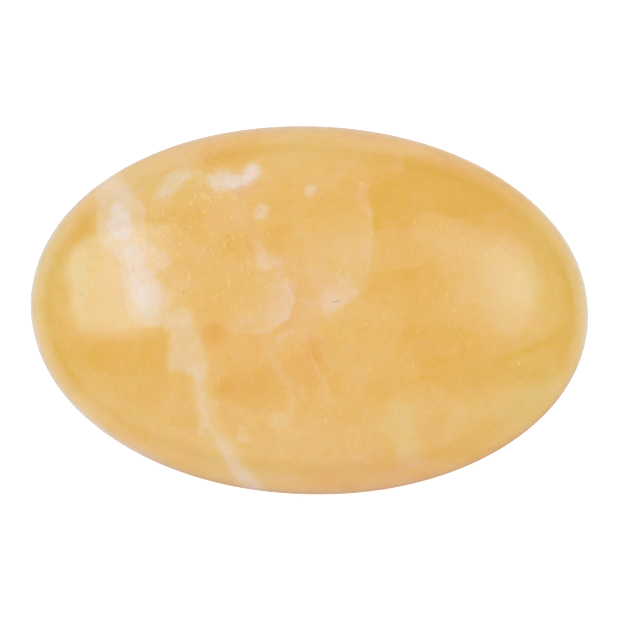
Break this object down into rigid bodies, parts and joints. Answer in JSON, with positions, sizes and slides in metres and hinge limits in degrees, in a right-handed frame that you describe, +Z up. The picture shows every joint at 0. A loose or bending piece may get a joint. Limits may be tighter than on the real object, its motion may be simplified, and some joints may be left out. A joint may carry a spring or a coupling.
{
  "type": "orange calcite zen stone",
  "caption": "Smooth polished oval stone of honey-orange calcite with milky veins, resting on a small flat spot; held in the palm or set out as an ornament.",
  "frame": {"origin": "middle of the small flat spot that the stone rests on, level with the surface under it", "axes": "+X along the stone's length, +Y across its width, +Z up through the crown"},
  "size_m": [0.065, 0.043, 0.026],
  "materials": {
    "calcite": "polished, slightly translucent"
  },
  "bodies": {
    "root": {"stone": "calcite"}
  },
  "joints": []
}
